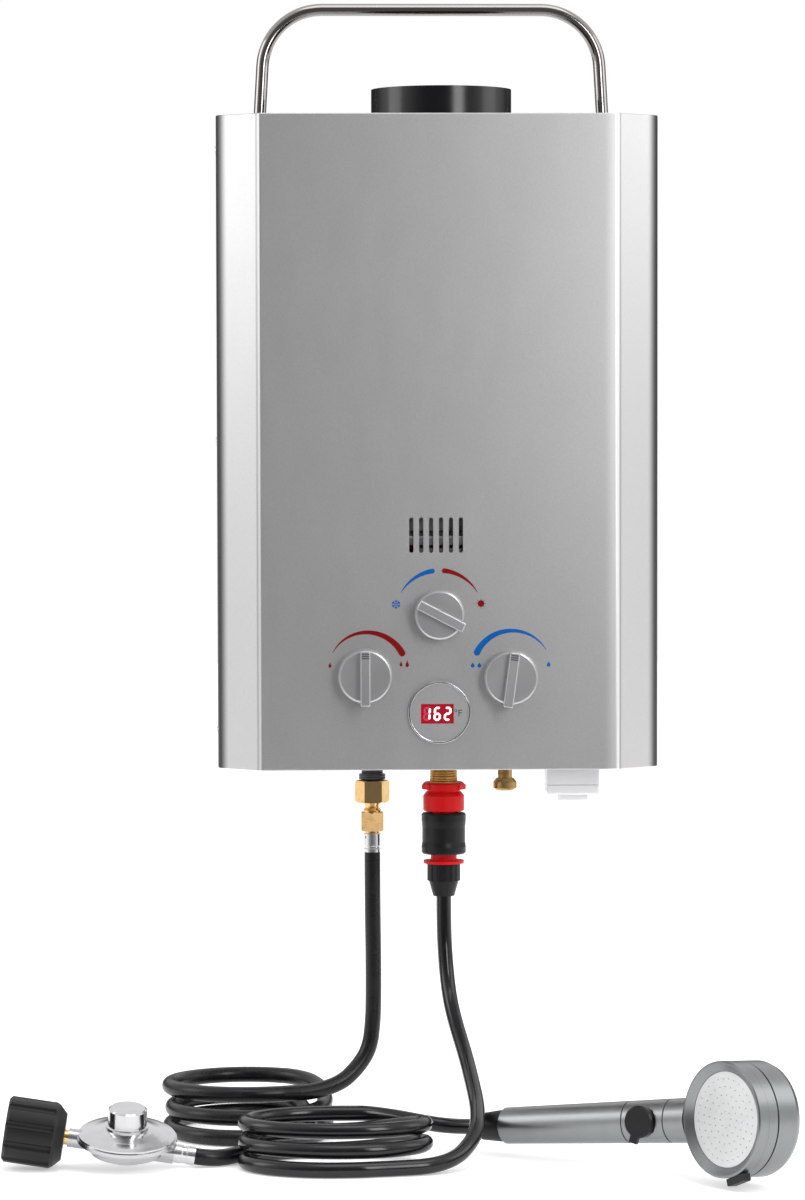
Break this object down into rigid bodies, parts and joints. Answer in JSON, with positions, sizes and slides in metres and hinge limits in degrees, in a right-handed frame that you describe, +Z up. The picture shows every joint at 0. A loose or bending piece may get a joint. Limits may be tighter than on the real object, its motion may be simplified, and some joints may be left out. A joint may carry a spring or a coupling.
{
  "type": "portable propane water heater",
  "caption": "Wall-hung outdoor gas water heater: bevelled sheet casing, flue collar, fold-back carry handle, knobs, display, gas hose with regulator, shower hose and hand shower",
  "frame": {"origin": "centre of the narrow end of the keyhole slot in the wall bracket, in the wall plane", "axes": "+X to the right for someone facing the knobs, +Y into the wall, +Z up; the casing hangs in front of the wall towards -Y"},
  "size_m": [0.5707, 0.3883, 0.8681],
  "materials": {
    "silver_paint": "satin metallic",
    "zinc_sheet": "satin",
    "black_enamel": "gloss",
    "polished_steel": "polished",
    "steel_fitting": "satin",
    "black_rubber": "matte",
    "gas_hose_rubber": "satin",
    "shower_hose_vinyl": "gloss",
    "copper": "satin",
    "brass_fitting": "satin",
    "red_plastic": "gloss",
    "black_plastic": "gloss",
    "matte_black": "matte",
    "white_plastic": "satin",
    "die_cast": "satin",
    "dark_anodised": "satin",
    "display_grey": "matte",
    "display_red": "gloss",
    "spray_plate_grey": "frosted",
    "silver_plastic": "satin pearl",
    "dark_steel": "satin",
    "polished_cast": "polished die cast",
    "cell_jacket": "satin",
    "ceramic": "matte"
  },
  "bodies": {
    "heater": {"rear_panel": "zinc_sheet", "front_cover": "silver_paint", "wall_bracket": "zinc_sheet", "rubber_feet": "black_rubber", "case_screws": "steel_fitting", "flue_collar": "black_enamel", "handle_brackets": "zinc_sheet", "exhaust_hood": "zinc_sheet", "exchanger_fins": "copper", "exchanger_tube": "copper", "combustion_shell": "zinc_sheet", "burner_bars": "zinc_sheet", "burner_frame": "zinc_sheet", "gas_manifold": "die_cast", "ignition_pins": "ceramic", "gas_valve_body": "die_cast", "solenoid_valve": "matte_black", "water_valve_body": "brass_fitting", "igniter_box": "matte_black", "hot_pipe": "copper", "cold_pipe": "brass_fitting", "overheat_sensor": "matte_black", "outlet_nipple": "brass_fitting", "gas_inlet_nipple": "dark_steel", "display_bezel": "polished_steel", "display_face": "display_grey", "display_module": "display_red", "battery_box": "white_plastic", "battery_cells": "cell_jacket", "flare_nut": "brass_fitting", "hose_union": "brass_fitting", "gas_hose_ferrules": "steel_fitting", "gas_hose_runs": "gas_hose_rubber", "gas_hose_coil": "gas_hose_rubber", "regulator_body": "die_cast", "regulator_bonnet": "polished_cast", "tank_nipple": "brass_fitting", "tap_adapter": "red_plastic", "connector_body": "red_plastic", "hose_nut": "black_plastic", "shower_hose_runs": "shower_hose_vinyl", "shower_hose_coil": "shower_hose_vinyl", "handset_nut": "matte_black", "handset_handle": "dark_anodised", "head_body": "dark_anodised", "spray_plate": "spray_plate_grey"},
    "handle": {"carry_handle": "polished_steel"},
    "gas_control": {"gas_knob": "silver_plastic", "gas_valve_stem": "brass_fitting"},
    "water_control": {"water_knob": "silver_plastic", "water_valve_stem": "brass_fitting"},
    "mode_control": {"mode_knob": "silver_plastic", "mode_valve_stem": "brass_fitting"},
    "battery_door": {"battery_lid": "white_plastic"},
    "drain": {"drain_plug": "brass_fitting"},
    "locking_sleeve": {"connector_sleeve": "black_plastic"},
    "tank_coupling": {"tank_nut": "matte_black"},
    "flow_stop": {"stop_knob": "black_plastic"},
    "spray_selector": {"spray_ring": "dark_anodised", "mode_lever": "matte_black"}
  },
  "joints": [
    {"name": "handle_fold", "type": "hinge", "parent": "heater", "child": "handle", "pos_m": [0, -0.008, 0.035], "axis": [1, 0, 0], "range_deg": [-180, 0]},
    {"name": "gas_turn", "type": "hinge", "parent": "heater", "child": "gas_control", "pos_m": [-0.0556, -0.17, -0.3642], "axis": [0, 1, 0], "range_deg": [-55, 55]},
    {"name": "water_turn", "type": "hinge", "parent": "heater", "child": "water_control", "pos_m": [0.0534, -0.17, -0.3656], "axis": [0, 1, 0], "range_deg": [-62.6, 47.4]},
    {"name": "mode_turn", "type": "hinge", "parent": "heater", "child": "mode_control", "pos_m": [0, -0.17, -0.3185], "axis": [0, 1, 0], "range_deg": [0, 125]},
    {"name": "battery_lid_hinge", "type": "hinge", "parent": "heater", "child": "battery_door", "pos_m": [0.102, -0.0969, -0.4486], "axis": [1, 0, 0], "range_deg": [0, 110]},
    {"name": "drain_turn", "type": "hinge", "parent": "heater", "child": "drain", "pos_m": [0.0533, -0.079, -0.45], "axis": [0, 0, 1], "range_deg": [0, 720]},
    {"name": "sleeve_release", "type": "slide", "parent": "heater", "child": "locking_sleeve", "axis": [0, 0, -1], "range_m": [0, 0.0046], "stiffness_N_per_m": 400, "springref_m": -0.004},
    {"name": "tank_nut_spin", "type": "hinge", "parent": "heater", "child": "tank_coupling", "pos_m": [-0.299, -0.25, -0.6917], "axis": [-0.9882, 0, 0.1534], "continuous": true},
    {"name": "flow_stop_turn", "type": "hinge", "parent": "heater", "child": "flow_stop", "pos_m": [0.14899, -0.28398, -0.681], "axis": [-0.5874, -0.8008, 0.117], "range_deg": [0, 90]},
    {"name": "spray_select", "type": "hinge", "parent": "heater", "child": "spray_selector", "pos_m": [0.2204, -0.3349, -0.671], "axis": [-0.8138, -0.5762, 0.075], "range_deg": [-30, 30]}
  ]
}
